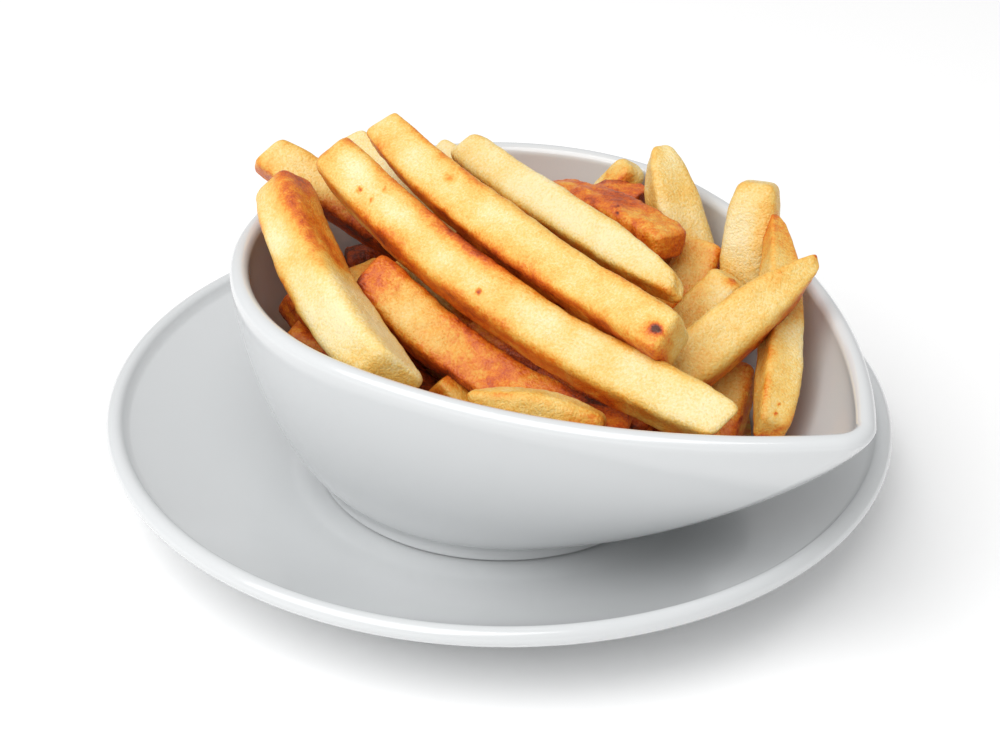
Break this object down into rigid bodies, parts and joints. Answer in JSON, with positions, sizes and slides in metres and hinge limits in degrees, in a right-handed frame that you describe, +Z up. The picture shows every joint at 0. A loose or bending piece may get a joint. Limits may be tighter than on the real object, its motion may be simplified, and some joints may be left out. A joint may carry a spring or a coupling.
{
  "type": "french fries portion",
  "caption": "Portion of thick-cut french fries heaped in a drop-shaped white porcelain bowl whose point overhangs the round matching saucer it stands on",
  "frame": {"origin": "middle of the saucer's foot ring, on the table surface", "axes": "+Z up; the bowl's point looks towards +X -Y; -Y is the side that the longest fries slope down to"},
  "size_m": [0.1798, 0.1798, 0.0827],
  "materials": {
    "saucer": "white glazed porcelain, glossy",
    "bowl": "white glazed porcelain, glossy",
    "fries": "fried potato, pale gold to browned, slightly oily"
  },
  "bodies": {
    "root": {"saucer": "saucer", "bowl": "bowl", "fries": "fries"}
  },
  "joints": []
}
